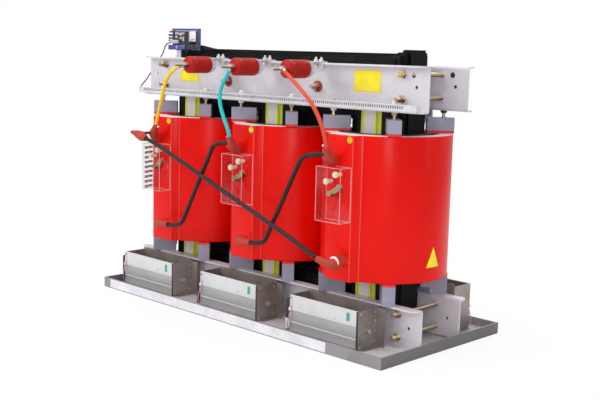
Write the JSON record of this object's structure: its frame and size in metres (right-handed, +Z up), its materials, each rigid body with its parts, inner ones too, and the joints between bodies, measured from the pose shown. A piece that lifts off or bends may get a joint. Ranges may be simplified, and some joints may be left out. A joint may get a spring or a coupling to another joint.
{
  "type": "dry-type transformer",
  "caption": "Dry-type three-phase transformer with red cast coils, a clamped stepped core and cross-flow fans on a flat base frame.",
  "frame": {"origin": "middle of the base frame's underside", "axes": "+X along the row of coils to the right-hand phase, -Y the high-voltage side, +Z up"},
  "size_m": [1.645, 0.751, 1.172],
  "materials": {
    "base_paint": "satin grey paint",
    "floor_paint": "satin pale grey paint",
    "clamp_paint": "semi-gloss white paint",
    "core_varnish": "matt black varnish",
    "tie_plate_paint": "satin",
    "strip_insulation": "yellow-green laminate",
    "high_voltage_resin": "glossy red cast resin",
    "low_voltage_foil": "resin-sealed foil",
    "block_resin": "moulded grey",
    "pad_silicone": "soft pink-red",
    "zinc_steel": "yellow zinc plate",
    "washer_laminate": "red laminate",
    "insulator_resin": "glossy dark red",
    "bracket_paint": "satin",
    "tinned_brass": "plain",
    "nylon": "cream nylon",
    "cover_acrylic": "clear acrylic",
    "lead_yellow": "silicone",
    "lead_blue": "silicone",
    "lead_red": "silicone",
    "link_black": "matt braid sleeve",
    "boot_resin": "shrunk red-brown sleeve",
    "duct_plastic": "light grey",
    "controller_blue": "semi-gloss blue",
    "module_black": "fine texture",
    "cable_black": "smooth",
    "busbar": "plain bar",
    "standoff_resin": "cast resin",
    "fan_steel": "stainless sheet",
    "rotor_aluminium": "plain",
    "motor_black": "satin black",
    "fan_lead_red": "pink-red sleeve"
  },
  "bodies": {
    "transformer": {"base_frame": "base_paint", "base_floor": "floor_paint", "lower_clamp_front": "clamp_paint", "lower_clamp_rear": "clamp_paint", "upper_clamp_front": "clamp_paint", "upper_clamp_rear": "clamp_paint", "core_lower_yoke": "core_varnish", "core_upper_yoke": "core_varnish", "core_limb_a": "core_varnish", "core_limb_b": "core_varnish", "core_limb_c": "core_varnish", "tie_plates": "tie_plate_paint", "tie_plate_insulation": "strip_insulation", "hv_coil_a": "high_voltage_resin", "lv_coil_a": "low_voltage_foil", "hv_coil_b": "high_voltage_resin", "lv_coil_b": "low_voltage_foil", "hv_coil_c": "high_voltage_resin", "lv_coil_c": "low_voltage_foil", "lower_blocks": "block_resin", "upper_blocks": "block_resin", "block_pads": "pad_silicone", "jack_bolts": "zinc_steel", "clamp_rods": "zinc_steel", "yoke_bolt_washers": "washer_laminate", "hv_insulators": "insulator_resin", "insulator_brackets": "bracket_paint", "bracket_bolts": "zinc_steel", "terminal_studs": "tinned_brass", "tap_bolts": "nylon", "tap_links": "tinned_brass", "tap_covers": "cover_acrylic", "hv_lead_a": "lead_yellow", "hv_lead_b": "lead_blue", "hv_lead_c": "lead_red", "delta_link_ab": "link_black", "delta_link_bc": "link_black", "delta_link_ca": "link_black", "terminal_boots": "boot_resin", "wiring_duct": "duct_plastic", "controller_frame": "controller_blue", "controller_module": "module_black", "controller_cable": "cable_black", "lv_bars": "busbar", "neutral_bar": "busbar", "lv_standoffs": "standoff_resin", "fan_motors": "motor_black", "fan_leads": "fan_lead_red", "fan_housing_front_a": "fan_steel", "fan_housing_front_b": "fan_steel", "fan_housing_front_c": "fan_steel", "fan_housing_rear_a": "fan_steel", "fan_housing_rear_b": "fan_steel", "fan_housing_rear_c": "fan_steel"},
    "fan_wheel_front_a": {"fan_rotor_front_a": "rotor_aluminium"},
    "fan_wheel_front_b": {"fan_rotor_front_b": "rotor_aluminium"},
    "fan_wheel_front_c": {"fan_rotor_front_c": "rotor_aluminium"},
    "fan_wheel_rear_a": {"fan_rotor_rear_a": "rotor_aluminium"},
    "fan_wheel_rear_b": {"fan_rotor_rear_b": "rotor_aluminium"},
    "fan_wheel_rear_c": {"fan_rotor_rear_c": "rotor_aluminium"}
  },
  "joints": [
    {"name": "fan_front_a_spin", "type": "hinge", "parent": "transformer", "child": "fan_wheel_front_a", "pos_m": [-0.604, -0.219, 0.076], "axis": [1, 0, 0], "continuous": true},
    {"name": "fan_front_b_spin", "type": "hinge", "parent": "transformer", "child": "fan_wheel_front_b", "pos_m": [-0.069, -0.219, 0.076], "axis": [1, 0, 0], "continuous": true},
    {"name": "fan_front_c_spin", "type": "hinge", "parent": "transformer", "child": "fan_wheel_front_c", "pos_m": [0.466, -0.219, 0.076], "axis": [1, 0, 0], "continuous": true},
    {"name": "fan_rear_a_spin", "type": "hinge", "parent": "transformer", "child": "fan_wheel_rear_a", "pos_m": [-0.523, 0.245, 0.076], "axis": [1, 0, 0], "continuous": true},
    {"name": "fan_rear_b_spin", "type": "hinge", "parent": "transformer", "child": "fan_wheel_rear_b", "pos_m": [0.012, 0.245, 0.076], "axis": [1, 0, 0], "continuous": true},
    {"name": "fan_rear_c_spin", "type": "hinge", "parent": "transformer", "child": "fan_wheel_rear_c", "pos_m": [0.547, 0.245, 0.076], "axis": [1, 0, 0], "continuous": true}
  ]
}
